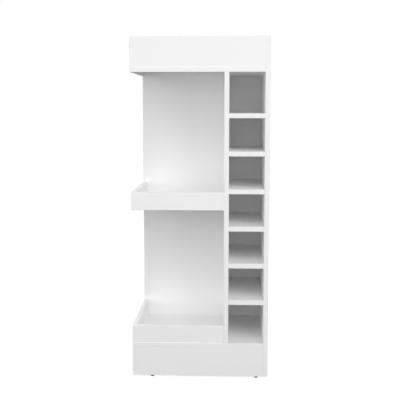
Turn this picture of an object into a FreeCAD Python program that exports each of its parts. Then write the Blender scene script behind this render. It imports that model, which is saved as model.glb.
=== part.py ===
import FreeCAD, Part
import os
import re

import Sketcher

# Corner bar cabinet in white melamine board.
# The side panel and the back panel stand against the two walls of the corner, full height.
# A divider parts seven bottle niches from a bay that is open at the front and at the left.
# X runs to the right, Y to the back and Z up. The origin is on the floor, under the middle.

SIZES = (
    ("cabinet_width", 440, "left ends of the trays to the outer face of the side panel"),
    ("cabinet_depth", 360, "front edges to the rear face of the back panel"),
    ("board", 15, "thickness of every board"),
    ("edge_bevel", 0.8, "bevel of the banded edges that show"),
    ("front_reveal", 1.2, "fascia and lower rim behind the front edges of the panels under them"),
    ("plinth_height", 95, "boards under the bottom panel"),
    ("fascia_height", 95, "boards on the top panel"),
    ("clear_height", 872, "bottom panel to top panel"),
    ("niche_width", 113, "divider to side panel"),
    ("niche_height", 105, "clear height of the five middle niches"),
    ("rail_height", 57, "rims of the middle and lower trays"),
    ("glide_height", 5, "plastic glide below the boards"),
    ("glide_radius", 5.5, "glide at its widest"),
    ("glide_sole_radius", 4.5, "flat of the glide on the floor"),
    ("glide_edge", 1.2, "height of the taper above the sole"),
    ("glide_left_inset", 64, "left glides from the left ends"),
    ("glide_right_inset", 37, "right glides from the outer face of the side panel"),
    ("nail_radius", 1, "nail of a glide"),
    ("nail_start", 1.5, "lower end of the nail above the floor"),
    ("nail_length", 18, "whole nail of a glide"),
    ("screw_length", 50, "assembly screw, head included"),
    ("screw_radius", 3.2, "shank of an assembly screw"),
    ("screw_head_radius", 5, "countersunk head"),
    ("screw_head_depth", 3, "depth of the countersink"),
    ("socket_radius", 2.3, "hexagon socket in the head, to its corners"),
    ("socket_depth", 2.2, "depth of the hexagon socket"),
    ("screw_inset", 60, "fasteners from the front and rear edges"),
    ("cap_radius", 6.5, "stick-on cap over a screw head"),
    ("cap_thickness", 0.4, "stick-on cap"),
    ("dowel_radius", 4, "beech dowel"),
    ("dowel_length", 30, "beech dowel"),
    ("dowel_sunk", 10, "part of a dowel that sits in the face of a board"),
    ("cam_radius", 7.5, "disc of a cam lock"),
    ("cam_height", 12, "depth of the disc in its board"),
    ("cam_setback", 24, "disc's axis from the end of its board"),
    ("cam_roof", 3.2, "solid top of the disc, over the pocket"),
    ("cam_pocket_radius", 4.6, "pocket that grips the bolt's head"),
    ("cam_throw", 2.2, "pocket's axis from the disc's axis"),
    ("cam_notch", 7.4, "opening where the bolt's head goes in"),
    ("cam_slot", 4.4, "slot that the bolt's neck follows"),
    ("cross_length", 8, "cross recess in the disc's top"),
    ("cross_width", 1.6, "one arm of the cross recess"),
    ("cross_depth", 2, "depth of the cross recess"),
    ("bolt_sunk", 11, "bolt's thread in the face of its board"),
    ("bolt_radius", 3, "bolt's thread and shank"),
    ("bolt_bore_radius", 4, "bore along the board for the bolt"),
    ("bolt_neck_radius", 2, "bolt's neck"),
    ("bolt_neck_start", 15.5, "neck's near end, from the face of the bolt's board"),
    ("bolt_head_start", 21.95, "underside of the head, from the face of the bolt's board"),
    ("bolt_head_radius", 3.3, "bolt's head"),
    ("bolt_head_cone", 1.7, "tapered underside of the head"),
    ("bolt_head_length", 4, "whole head"),
)
SHELVES = 6
# Small round pieces and their bores are many-sided, because there are so many of them.
SHANK_SIDES = 8
BUTTON_SIDES = 16
SOCKET_SIDES = 6
CAM_TURN_DEGREES = 90
FULL_TURN_DEGREES = 360
TOUCH = 1e-6

# Points and lines as the constraints of a sketch number them
START_POINT = 1
END_POINT = 2
CENTRE_POINT = 3
SKETCH_AXIS = -1

# An outline as it is first drawn, before its constraints size it
DRAWN_SIZE = 20
DRAWN_RADIUS = 5

X = FreeCAD.Vector(1, 0, 0)
Y = FreeCAD.Vector(0, 1, 0)
Z = FreeCAD.Vector(0, 0, 1)

# Planes of the cabinet, as expressions of the sizes above
LEFT = "(-cabinet_width / 2)"
SIDE_OUT = "(cabinet_width / 2)"
SIDE_IN = "(cabinet_width / 2 - board)"
DIVIDER_RIGHT = f"({SIDE_IN} - niche_width)"
DIVIDER_LEFT = f"({DIVIDER_RIGHT} - board)"
FRONT = "(-cabinet_depth / 2)"
BACK = "(cabinet_depth / 2)"
BACK_IN = "(cabinet_depth / 2 - board)"
FOOT = "glide_height"
BASE = f"({FOOT} + plinth_height)"
BASE_TOP = f"({BASE} + board)"
TRAY = f"({BASE_TOP} + clear_height / 2)"
ROOF = f"({BASE_TOP} + clear_height)"
ROOF_TOP = f"({ROOF} + board)"
CROWN = f"({ROOF_TOP} + fascia_height)"

# Inner faces of the boards along the front and the left
FRONT_IN = f"({FRONT} + board)"
LEFT_IN = f"({LEFT} + board)"

# Middle planes of the boards
LEFT_MID = f"({LEFT} + board / 2)"
DIVIDER_MID = f"({DIVIDER_LEFT} + board / 2)"
FRONT_MID = f"({FRONT} + board / 2)"
BACK_MID = f"({BACK} - board / 2)"
PLINTH_MID = f"({FOOT} + plinth_height / 2)"
BASE_MID = f"({BASE} + board / 2)"
LOWER_RAIL_MID = f"({BASE_TOP} + rail_height / 2)"
TRAY_MID = f"({TRAY} + board / 2)"
TRAY_RAIL_MID = f"({TRAY} + rail_height / 2)"
ROOF_MID = f"({ROOF} + board / 2)"
FASCIA_MID = f"({ROOF_TOP} + fascia_height / 2)"

# Outer, middle and inner planes of a front board that stands a little behind the edge of its panel
SET_FRONT = f"({FRONT} + front_reveal)"
SET_FRONT_MID = f"({FRONT_MID} + front_reveal)"
SET_FRONT_IN = f"({FRONT_IN} + front_reveal)"

# Places of the fasteners along the boards
DEEP = (f"({FRONT} + screw_inset)", f"({BACK_IN} - screw_inset)")
ALONG = (f"({LEFT} + screw_inset)", f"({DIVIDER_LEFT} - screw_inset)")
UPRIGHT = (f"({BASE_TOP} + clear_height / 4)", f"({ROOF} - clear_height / 4)")
DOWELS_DEEP = (f"({FRONT} + 2 * screw_inset)", f"({BACK_IN} - 2 * screw_inset)")
DOWELS_ALONG = (f"({LEFT} + 2 * screw_inset)", f"({SIDE_IN} - 2 * screw_inset)")

doc = FreeCAD.newDocument("CornerBarCabinet")


def fill_sheet():
    """Write the driving sizes, each with its alias and its meaning."""
    sheet = doc.addObject("Spreadsheet::Sheet", "Sizes")
    for row, (alias, value, meaning) in enumerate(SIZES, start=1):
        sheet.set(f"A{row}", meaning)
        sheet.set(f"B{row}", str(value))
        sheet.setAlias(f"B{row}", alias)
    doc.recompute()


def sized(text):
    """Expression in which every word is a size of the sheet."""
    return re.sub("[a-z_]+", lambda word: "Sizes." + word.group(), text)


def bind(item, **sizes):
    """Bind an object's properties to the sheet."""
    for name, text in sizes.items():
        item.setExpression(name, sized(text))


def put(item, spot, prefix="Placement"):
    """Bind an object's place to the sheet."""
    for axis, text in zip("xyz", spot):
        item.setExpression(f"{prefix}.Base.{axis}", sized(text))


def shelf_under(number):
    """Underside of a niche shelf, counted from the lowest."""
    end_niche = f"(clear_height - {SHELVES} * board - {SHELVES - 1} * niche_height) / 2"
    return f"({BASE_TOP} + {end_niche} + {number - 1} * (niche_height + board))"


def shelf_mid(number):
    """Middle plane of a niche shelf."""
    return f"({shelf_under(number)} + board / 2)"


def origin_feature(body, role):
    """Plane or axis of a body's own origin."""
    return next(item for item in body.Origin.OriginFeatures if item.Role == role)


def new_sketch(body, name, plane):
    """Empty sketch on a plane of the body."""
    sketch = body.newObject("Sketcher::SketchObject", name)
    sketch.AttachmentSupport = [(origin_feature(body, plane), "")]
    sketch.MapMode = "FlatFace"
    return sketch


def draw_loop(sketch, corners):
    """Closed outline of straight lines."""
    for start, end in zip(corners, corners[1:] + corners[:1]):
        sketch.addGeometry(Part.LineSegment(start, end), False)
    for side in range(len(corners)):
        following = (side + 1) % len(corners)
        sketch.addConstraint(Sketcher.Constraint("Coincident", side, END_POINT, following, START_POINT))


def draw_rectangle(sketch, across, up, centred=False):
    """Rectangle with its first corner, or its middle, on the sketch's origin."""
    low = -DRAWN_SIZE / 2 if centred else 0
    high = low + DRAWN_SIZE
    corners = [
        FreeCAD.Vector(low, low, 0),
        FreeCAD.Vector(high, low, 0),
        FreeCAD.Vector(high, high, 0),
        FreeCAD.Vector(low, high, 0),
    ]
    draw_loop(sketch, corners)
    bottom, right, top, left = range(len(corners))
    for side in (bottom, top):
        sketch.addConstraint(Sketcher.Constraint("Horizontal", side))
    for side in (right, left):
        sketch.addConstraint(Sketcher.Constraint("Vertical", side))
    first_corner = (bottom, START_POINT)
    origin = (SKETCH_AXIS, START_POINT)
    if centred:
        sketch.addConstraint(Sketcher.Constraint("Symmetric", *first_corner, top, START_POINT, *origin))
    else:
        sketch.addConstraint(Sketcher.Constraint("Coincident", *first_corner, *origin))
    width = sketch.addConstraint(
        Sketcher.Constraint("DistanceX", bottom, START_POINT, bottom, END_POINT, DRAWN_SIZE))
    height = sketch.addConstraint(
        Sketcher.Constraint("DistanceY", right, START_POINT, right, END_POINT, DRAWN_SIZE))
    sketch.renameConstraint(width, "across")
    sketch.renameConstraint(height, "up")
    bind(sketch, **{"Constraints.across": across, "Constraints.up": up})


def draw_polygon(sketch, radius, sides):
    """Regular polygon about the sketch's origin, with a corner on its X axis."""
    turns = [FreeCAD.Rotation(Z, FULL_TURN_DEGREES * corner / sides) for corner in range(sides)]
    draw_loop(sketch, [turn.multVec(X * DRAWN_RADIUS) for turn in turns])
    circle = sketch.addGeometry(Part.Circle(FreeCAD.Vector(), Z, DRAWN_RADIUS), True)
    sketch.addConstraint(Sketcher.Constraint("Coincident", circle, CENTRE_POINT, SKETCH_AXIS, START_POINT))
    first, *others = range(sides)
    for side in (first, *others):
        sketch.addConstraint(Sketcher.Constraint("PointOnObject", side, START_POINT, circle))
    for side in others:
        sketch.addConstraint(Sketcher.Constraint("Equal", first, side))
    sketch.addConstraint(Sketcher.Constraint("PointOnObject", first, START_POINT, SKETCH_AXIS))
    number = sketch.addConstraint(Sketcher.Constraint("Radius", circle, DRAWN_RADIUS))
    sketch.renameConstraint(number, "radius")
    bind(sketch, **{"Constraints.radius": radius})


def new_feature(body, kind, name, profile, **sizes):
    """Feature of a body, made from a sketch."""
    feature = body.newObject("PartDesign::" + kind, name)
    feature.Profile = profile
    bind(feature, **sizes)
    return feature


def shown_edges(shape, thin, sides):
    """Names of the long edges on the given narrow sides of a board."""
    box = shape.BoundBox
    limits = {
        "left": ("x", box.XMin),
        "front": ("y", box.YMin),
        "bottom": ("z", box.ZMin),
        "top": ("z", box.ZMax),
    }
    names = []
    for number, edge in enumerate(shape.Edges, start=1):
        run = edge.Vertexes[1].Point - edge.Vertexes[0].Point
        if abs(getattr(run, thin)) > TOUCH:
            continue
        for axis, limit in (limits[side] for side in sides):
            if abs(getattr(edge.CenterOfMass, axis) - limit) < TOUCH:
                names.append(f"Edge{number}")
    return names


def cut_board(label, spans, thin, banded=()):
    """Plain board between two planes each way, with its banded edges bevelled."""
    planes = {"x": "YZ_Plane", "y": "XZ_Plane", "z": "XY_Plane"}
    extents = {axis: f"{high} - {low}" for axis, (low, high) in zip("xyz", spans)}
    body = doc.addObject("PartDesign::Body", label + "_blank")
    outline = new_sketch(body, label + "_outline", planes[thin])
    draw_rectangle(outline, *[extents[axis] for axis in "xyz" if axis != thin])
    pad = new_feature(body, "Pad", label + "_pad", outline, Length=extents[thin])
    pad.Reversed = thin == "y"
    put(body, [low for low, high in spans])
    doc.recompute()
    if banded:
        bevel = body.newObject("PartDesign::Chamfer", label + "_bevel")
        bevel.Base = (pad, shown_edges(pad.Shape, thin, banded))
        bind(bevel, Size="edge_bevel")
    return body


def gathered(name, items):
    """Separate solids under one name."""
    group = doc.addObject("Part::Compound", name)
    group.Links = items
    return group


def scatter(label, master, spots):
    """Group of like pieces, one at each spot."""
    links = []
    for number, (spot, turn) in enumerate(spots, start=1):
        link = doc.addObject("App::Link", f"{label}_{number}")
        link.LinkedObject = master
        link.Placement = FreeCAD.Placement(FreeCAD.Vector(), turn)
        put(link, spot)
        links.append(link)
    return gathered(label, links)


def prism(name, radius, height, start="0", sides=SHANK_SIDES):
    """Straight piece along Z."""
    item = doc.addObject("Part::Prism", name)
    item.Polygon = sides
    bind(item, Circumradius=radius, Height=height)
    put(item, ("0", "0", start))
    return item


def taper(name, near_radius, far_radius, start, length, sides=SHANK_SIDES):
    """Tapered piece along Z, between two radii."""
    rings = []
    for end, radius, level in (("near", near_radius, start), ("far", far_radius, f"{start} + {length}")):
        ring = doc.addObject("Part::RegularPolygon", f"{name}_{end}")
        ring.Polygon = sides
        bind(ring, Circumradius=radius)
        put(ring, ("0", "0", level))
        rings.append(ring)
    cone = doc.addObject("Part::Loft", name)
    cone.Sections = rings
    cone.Solid = True
    cone.Ruled = True
    return cone


def joined(name, *pieces):
    """One solid out of several that meet."""
    item = doc.addObject("Part::MultiFuse", name)
    item.Shapes = pieces
    return item


def less(name, base, tool):
    """Solid with another one taken out of it."""
    item = doc.addObject("Part::Cut", name)
    item.Base = base
    item.Tool = tool
    return item


def along(direction):
    """Turn that points a fastener along a direction."""
    return FreeCAD.Rotation(Z, direction)


def make_screw():
    """Countersunk assembly screw with a hexagon socket, and its bore, driven along Z."""
    head = taper("screw_head", "screw_head_radius", "screw_radius", "0", "screw_head_depth")
    shank = prism("screw_shank", "screw_radius", "screw_length - screw_head_depth", "screw_head_depth")
    bore = joined("screw_bore", head, shank)
    socket = prism("screw_socket", "socket_radius", "socket_depth", sides=SOCKET_SIDES)
    return less("screw", bore, socket), bore


def make_cap():
    """Stick-on cap that lies on the face round a screw head."""
    return gathered("cap", [
        prism("cap_disc", "cap_radius", "cap_thickness", "-cap_thickness", BUTTON_SIDES),
    ])


def make_glide():
    """Plastic glide on its nail, standing on the floor, and the nail's bore."""
    sole = taper("glide_sole", "glide_sole_radius", "glide_radius", "0", "glide_edge", BUTTON_SIDES)
    rim = prism("glide_rim", "glide_radius", "glide_height - glide_edge", "glide_edge", BUTTON_SIDES)
    nail = gathered("nail", [prism("nail_shank", "nail_radius", "nail_length", "nail_start")])
    return less("glide", joined("glide_button", sole, rim), nail), nail


def make_cam_disc():
    """Zinc disc of a cam lock. Its top lies at Z = 0, and the bolt comes along X from below zero."""
    disc = doc.addObject("PartDesign::Body", "cam_disc")
    outline = new_sketch(disc, "cam_outline", "XY_Plane")
    draw_polygon(outline, "cam_radius", BUTTON_SIDES)
    new_feature(disc, "Pad", "cam_pad", outline, Length="cam_height")

    # Off-centre pocket that draws the bolt's head in as the disc turns
    pocket = new_sketch(disc, "cam_pocket_outline", "XY_Plane")
    draw_polygon(pocket, "cam_pocket_radius", BUTTON_SIDES)
    put(pocket, ("cam_throw", "0", "cam_height"), "AttachmentOffset")
    new_feature(disc, "Pocket", "cam_pocket", pocket, Length="cam_height - cam_roof")

    # Notch at the rim where the head goes in, a quarter turn from where it locks
    notch = new_sketch(disc, "cam_notch_outline", "XY_Plane")
    draw_rectangle(notch, "cam_notch", "cam_radius", centred=True)
    put(notch, ("0", "-cam_radius / 2", "cam_height"), "AttachmentOffset")
    new_feature(disc, "Pocket", "cam_notch", notch, Length="cam_height - cam_roof")

    # Slot that the bolt's neck follows from the notch to the locked place
    for kind in ("Pocket", "Groove"):
        slot = new_sketch(disc, f"cam_slot_{kind}", "XZ_Plane")
        draw_rectangle(slot, "cam_radius", "cam_slot", centred=True)
        put(slot, ("-cam_radius / 2", "board / 2", "0"), "AttachmentOffset")
        if kind == "Pocket":
            straight = new_feature(disc, kind, "cam_slot_end", slot, Length="cam_slot")
            straight.Midplane = True
        else:
            turn = new_feature(disc, kind, "cam_slot_turn", slot)
            turn.ReferenceAxis = (origin_feature(disc, "Z_Axis"), [""])
            turn.Angle = CAM_TURN_DEGREES

    # Cross recess for the screwdriver
    for arm, (across, up) in enumerate((("cross_length", "cross_width"), ("cross_width", "cross_length"))):
        recess = new_sketch(disc, f"cam_cross_{arm}", "XY_Plane")
        draw_rectangle(recess, across, up, centred=True)
        cross = new_feature(disc, "Pocket", f"cam_recess_{arm}", recess, Length="cross_depth")
        cross.Reversed = True
    return disc


def make_cam_lock():
    """Disc, bolt and bores of a cam lock.

    The bolt goes along Z from the face of its board, and the disc's top looks along X.
    """
    disc = make_cam_disc()
    disc.Placement.Rotation = FreeCAD.Rotation(Z, Y, -X, "ZXY")
    put(disc, ("board / 2", "0", "cam_setback"))
    cam = gathered("cam", [disc])

    bolt = joined(
        "cam_bolt",
        prism("bolt_shank", "bolt_radius", "bolt_sunk + bolt_neck_start", "-bolt_sunk"),
        prism("bolt_neck", "bolt_neck_radius", "bolt_head_start - bolt_neck_start", "bolt_neck_start"),
        taper("bolt_cone", "bolt_neck_radius", "bolt_head_radius", "bolt_head_start", "bolt_head_cone"),
        prism(
            "bolt_head",
            "bolt_head_radius",
            "bolt_head_length - bolt_head_cone",
            "bolt_head_start + bolt_head_cone",
        ),
    )

    seat = prism("cam_seat", "cam_radius", "cam_height", sides=BUTTON_SIDES)
    seat.Placement.Rotation = along(-X)
    put(seat, ("board / 2", "0", "cam_setback"))
    bores = joined(
        "cam_bores",
        seat,
        prism("bolt_thread_bore", "bolt_radius", "bolt_sunk", "-bolt_sunk"),
        prism("bolt_bore", "bolt_bore_radius", "cam_setback"),
    )
    return cam, bolt, bores


def side_screw_spots():
    """Screws through the side panel."""
    into = along(-X)
    levels = [BASE_MID, *(shelf_mid(number + 1) for number in range(SHELVES)), ROOF_MID]
    spots = [((SIDE_OUT, depth, level), into) for level in levels for depth in DEEP]
    spots += [((SIDE_OUT, FRONT_MID, PLINTH_MID), into), ((SIDE_OUT, SET_FRONT_MID, FASCIA_MID), into)]
    spots += [((SIDE_OUT, BACK_MID, level), into) for level in UPRIGHT]
    return spots


def back_screw_spots():
    """Screws through the back panel."""
    into = along(-Y)
    spots = [((place, BACK, level), into) for level in (BASE_MID, TRAY_MID, ROOF_MID) for place in ALONG]
    spots += [((DIVIDER_MID, BACK, level), into) for level in UPRIGHT]
    ends = (PLINTH_MID, LOWER_RAIL_MID, TRAY_RAIL_MID, FASCIA_MID)
    spots += [((LEFT_MID, BACK, level), into) for level in ends]
    return spots


def divider_screw_spots():
    """Screws down through the top panel and up through the bottom panel, into the divider."""
    down = [((DIVIDER_MID, depth, ROOF_TOP), along(-Z)) for depth in DEEP]
    up = [((DIVIDER_MID, depth, BASE), along(Z)) for depth in DEEP]
    return down + up


def lower_tray_screw_spots():
    """Screws up through the bottom panel, into the rails that stand on it."""
    front = [((place, SET_FRONT_MID, BASE), along(Z)) for place in ALONG]
    left = [((LEFT_MID, depth, BASE), along(Z)) for depth in DEEP]
    return front + left


def shelf_dowel_spots():
    """Dowels between the divider and the niche shelves."""
    start = f"{DIVIDER_RIGHT} - dowel_sunk"
    numbers = range(1, SHELVES + 1)
    return [((start, depth, shelf_mid(number)), along(X)) for number in numbers for depth in DEEP]


def corner_dowel_spot(level, inner):
    """Dowel from the front board of a corner, with its inner plane, into the end of the left one."""
    return (LEFT_MID, f"{inner} - dowel_sunk", level), along(Y)


def tray_dowel_spots():
    """Dowels at the corners of the tray rails and at the divider."""
    corners = [corner_dowel_spot(LOWER_RAIL_MID, SET_FRONT_IN), corner_dowel_spot(TRAY_RAIL_MID, FRONT_IN)]
    start = f"{DIVIDER_LEFT} + dowel_sunk"
    middles = ((SET_FRONT_MID, LOWER_RAIL_MID), (FRONT_MID, TRAY_RAIL_MID))
    return corners + [((start, depth, level), along(-X)) for depth, level in middles]


def border_dowel_spots(start, direction, middle):
    """Dowels between a panel and the front and left boards below or on it."""
    front = [((place, middle, start), along(direction)) for place in DOWELS_ALONG]
    left = [((LEFT_MID, depth, start), along(direction)) for depth in DOWELS_DEEP]
    return front + left


def cam_spots():
    """Cam locks under the middle tray: bolts in the rails and the divider, discs in the shelf."""
    front = [((place, FRONT_IN, TRAY_MID), Y) for place in ALONG]
    left = [((LEFT_IN, depth, TRAY_MID), X) for depth in DEEP]
    divider = [((DIVIDER_LEFT, depth, TRAY_MID), -X) for depth in DEEP]
    return [
        (spot, FreeCAD.Rotation(-Z, direction.cross(-Z), direction, "ZXY"))
        for spot, direction in front + left + divider
    ]


def glide_spots():
    """Glides under the plinth's front board and under the back panel."""
    places = (f"{LEFT} + glide_left_inset", f"{SIDE_OUT} - glide_right_inset")
    upright = FreeCAD.Rotation()
    return [((place, depth, "0"), upright) for depth in (FRONT_MID, BACK_MID) for place in places]


def cut_boards():
    """Every board of the cabinet, before drilling."""
    flush = (FRONT, FRONT_IN)
    set_back = (SET_FRONT, SET_FRONT_IN)
    panel = ((LEFT, SIDE_IN), (FRONT, BACK_IN))
    boards = [
        cut_board("right_side_panel", ((SIDE_IN, SIDE_OUT), (FRONT, BACK), (FOOT, CROWN)), "x",
                  ("front", "top")),
        cut_board("back_panel", ((LEFT, SIDE_IN), (BACK_IN, BACK), (FOOT, CROWN)), "y",
                  ("left", "top")),
        cut_board("bottom_panel", (*panel, (BASE, BASE_TOP)), "z", ("front", "left")),
        cut_board("top_panel", (*panel, (ROOF, ROOF_TOP)), "z", ("front", "left")),
        cut_board("divider_panel", ((DIVIDER_LEFT, DIVIDER_RIGHT), (FRONT, BACK_IN), (BASE_TOP, ROOF)),
                  "x", ("front",)),
        cut_board("mid_tray_shelf",
                  ((LEFT_IN, DIVIDER_LEFT), (FRONT_IN, BACK_IN), (TRAY, f"({TRAY} + board)")), "z"),
    ]
    for number in range(1, SHELVES + 1):
        under = shelf_under(number)
        span = ((DIVIDER_RIGHT, SIDE_IN), (FRONT, BACK_IN), (under, f"({under} + board)"))
        boards.append(cut_board(f"niche_shelf_{number}", span, "z", ("front",)))
    borders = (
        ("plinth_front", "plinth_left", SIDE_IN, flush, (FOOT, BASE), ()),
        ("fascia_front", "fascia_left", SIDE_IN, set_back, (ROOF_TOP, CROWN), ("top",)),
        ("lower_tray_front_rail", "lower_tray_left_rail", DIVIDER_LEFT, set_back,
         (BASE_TOP, f"({BASE_TOP} + rail_height)"), ("top",)),
        ("mid_tray_front_rail", "mid_tray_left_rail", DIVIDER_LEFT, flush,
         (TRAY, f"({TRAY} + rail_height)"), ("bottom", "top")),
    )
    for front, left, right_end, (outer, inner), rise, banded in borders:
        boards.append(cut_board(front, ((LEFT, right_end), (outer, inner), rise), "y", ("left", *banded)))
        boards.append(cut_board(left, ((LEFT, LEFT_IN), (inner, BACK_IN), rise), "x", banded))
    return boards


def make_hardware():
    """Every group of fasteners and glides, and the bores that they need."""
    screw, screw_bore = make_screw()
    dowel = prism("dowel", "dowel_radius", "dowel_length")
    cam, bolt, cam_bores = make_cam_lock()
    glide, nail = make_glide()
    plinth_dowels = border_dowel_spots(f"{BASE} + dowel_sunk", -Z, FRONT_MID)
    plinth_dowels.append(corner_dowel_spot(PLINTH_MID, FRONT_IN))
    fascia_dowels = border_dowel_spots(f"{ROOF_TOP} - dowel_sunk", Z, SET_FRONT_MID)
    fascia_dowels.append(corner_dowel_spot(FASCIA_MID, SET_FRONT_IN))
    groups = (
        ("side_panel_screws", screw, screw_bore, side_screw_spots()),
        ("back_panel_screws", screw, screw_bore, back_screw_spots()),
        ("divider_screws", screw, screw_bore, divider_screw_spots()),
        ("lower_tray_screws", screw, screw_bore, lower_tray_screw_spots()),
        ("niche_shelf_dowels", dowel, dowel, shelf_dowel_spots()),
        ("tray_rail_dowels", dowel, dowel, tray_dowel_spots()),
        ("plinth_dowels", dowel, dowel, plinth_dowels),
        ("fascia_dowels", dowel, dowel, fascia_dowels),
        ("mid_tray_cam_bolts", bolt, cam_bores, cam_spots()),
        ("glide_nails", nail, nail, glide_spots()),
    )
    hardware = []
    bores = []
    for label, master, bore, spots in groups:
        group = scatter(label, master, spots)
        hardware.append(group)
        bores.append(group if bore is master else scatter(label + "_bores", bore, spots))
    hardware.append(scatter("side_panel_screw_caps", make_cap(), side_screw_spots()))
    hardware.append(scatter("mid_tray_cams", cam, cam_spots()))
    hardware.append(scatter("glide_pads", glide, glide_spots()))
    return hardware, gathered("drills", bores)


def check(pieces):
    """Stop if an object failed or a piece isn't made of valid solids."""
    failed = [item.Name for item in doc.Objects if {"Invalid", "Error"} & set(item.State)]
    if failed:
        raise RuntimeError("failed objects: " + ", ".join(failed))
    for piece in pieces:
        if piece.Shape.isNull() or not piece.Shape.isValid() or not piece.Shape.Solids:
            raise RuntimeError(piece.Label + " is not made of valid solids")


def main():
    fill_sheet()
    hardware, drills = make_hardware()
    boards = [less(blank.Label.removesuffix("_blank"), blank, drills) for blank in cut_boards()]
    doc.recompute()
    pieces = boards + hardware
    check(pieces)
    os.makedirs("parts", exist_ok=True)
    for piece in pieces:
        piece.Shape.exportStep(os.path.join("parts", piece.Label + ".step"))
    print(len(pieces), "pieces written")


main()
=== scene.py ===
"""Corner bar cabinet in white melamine board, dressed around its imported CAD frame."""

import math

import bmesh
import bpy
from bpy.props import FloatProperty, FloatVectorProperty, PointerProperty
from mathutils import Matrix, Vector


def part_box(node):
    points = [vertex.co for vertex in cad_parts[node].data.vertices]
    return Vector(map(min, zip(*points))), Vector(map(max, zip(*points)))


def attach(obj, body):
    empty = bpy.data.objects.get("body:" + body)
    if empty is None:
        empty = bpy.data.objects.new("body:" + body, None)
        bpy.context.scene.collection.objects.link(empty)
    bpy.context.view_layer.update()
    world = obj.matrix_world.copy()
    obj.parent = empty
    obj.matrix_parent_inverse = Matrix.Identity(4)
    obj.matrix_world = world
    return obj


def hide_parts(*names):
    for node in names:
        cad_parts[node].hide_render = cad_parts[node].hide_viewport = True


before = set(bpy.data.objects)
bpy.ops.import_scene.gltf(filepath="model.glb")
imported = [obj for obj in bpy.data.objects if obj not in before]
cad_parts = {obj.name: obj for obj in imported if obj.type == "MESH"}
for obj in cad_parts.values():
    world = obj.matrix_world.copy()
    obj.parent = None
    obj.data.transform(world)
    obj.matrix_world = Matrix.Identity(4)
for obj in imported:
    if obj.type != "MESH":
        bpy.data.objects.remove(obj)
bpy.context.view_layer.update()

bl_info = {
    "name": "Corner Bar Cabinet",
    "version": (1, 0, 0),
    "blender": (4, 5, 0),
    "location": "3D View > Sidebar > Cabinet",
    "description": "Boards, fittings and studio stage of a white corner bar cabinet",
    "category": "Object",
}

BODY = "root"
FULL_TURN = 2 * math.pi

# Points closer than this are one point
MERGE = 1e-6

# Outward directions of a board's six sides
SIDES = {
    "left": Vector((-1, 0, 0)),
    "right": Vector((1, 0, 0)),
    "front": Vector((0, -1, 0)),
    "rear": Vector((0, 1, 0)),
    "under": Vector((0, 0, -1)),
    "top": Vector((0, 0, 1)),
}

# Narrow sides of each board that carry edge band; its other narrow sides are cut and bare
UPRIGHT_PANELS = {
    "right_side_panel": {"front", "top", "rear"},
    "back_panel": {"left", "top"},
    "divider_panel": {"front"},
}
LEVEL_PANELS = {
    "bottom_panel": {"front", "left"},
    "top_panel": {"front", "left"},
}
NICHE_SHELF_COUNT = 6
NICHE_SHELVES = {f"niche_shelf_{number}": {"front"} for number in range(1, NICHE_SHELF_COUNT + 1)}
MIDDLE_TRAY = {
    "mid_tray_shelf": set(),
    "mid_tray_front_rail": {"left", "top", "under"},
    "mid_tray_left_rail": {"top", "under"},
}
LOWER_TRAY = {
    "lower_tray_front_rail": {"left", "top"},
    "lower_tray_left_rail": {"top"},
}
PLINTH = {
    "plinth_front": {"left"},
    "plinth_left": set(),
}
FASCIA = {
    "fascia_front": {"left", "top"},
    "fascia_left": {"top"},
}

SCREW_GROUPS = ("side_panel_screws", "back_panel_screws", "divider_screws", "lower_tray_screws")
DOWEL_GROUPS = ("niche_shelf_dowels", "tray_rail_dowels", "plinth_dowels", "fascia_dowels")

# Order of a board's materials
MELAMINE, BAND, GLUE, CHIPS = range(4)

# Fineness of round shapes
ROUND_STEPS = 32
BORE_STEPS = 24
ROUND_OVER_STEPS = 4
SOFT_STEPS = 2
CHAMFER_STEPS = 1
THREAD_STEPS = 14

# Half width of a thread's foot as a share of its pitch, and of its crest as a share of the foot
THREAD_FOOT = 0.25
THREAD_CREST = 0.25

# Flutes round a dowel, and corners to each of them
FLUTES = 12
FLUTE_CORNERS = 3

AXES = range(3)
QUARTERS = 4
HEXAGON_SIDES = 6
TRIANGLE_CORNERS = 3

# Edges that turn by more than this are shaded sharp
SHARP_ANGLE = math.radians(40)

# Edges that turn by more than this are square, and get rounded or chamfered
CRISP_ANGLE = math.radians(60)

# A face lies flat on one side of a board if one part of its normal is larger than this
FLAT_NORMAL = 0.9999

# White niches pass light on many times before it fades
WHITE_BOUNCES = 12

# Inputs of a mix shader: for rays that only carry light, and for rays that see
UNSEEN, SEEN = 1, 2


def length(name, description, default):
    """Property for a length in metres."""
    return FloatProperty(
        name=name, description=description, default=default, min=0, precision=5, unit="LENGTH")


def colour(name, description, default):
    """Property for a colour."""
    return FloatVectorProperty(
        name=name, description=description, default=default, min=0, max=1, size=3, subtype="COLOR")


def place(name, description, default):
    """Property for a point in metres."""
    return FloatVectorProperty(
        name=name, description=description, default=default, precision=4, size=3, subtype="TRANSLATION")


def power(name, description, default):
    """Property for a lamp's power in watts."""
    return FloatProperty(name=name, description=description, default=default, min=0, unit="POWER")


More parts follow.
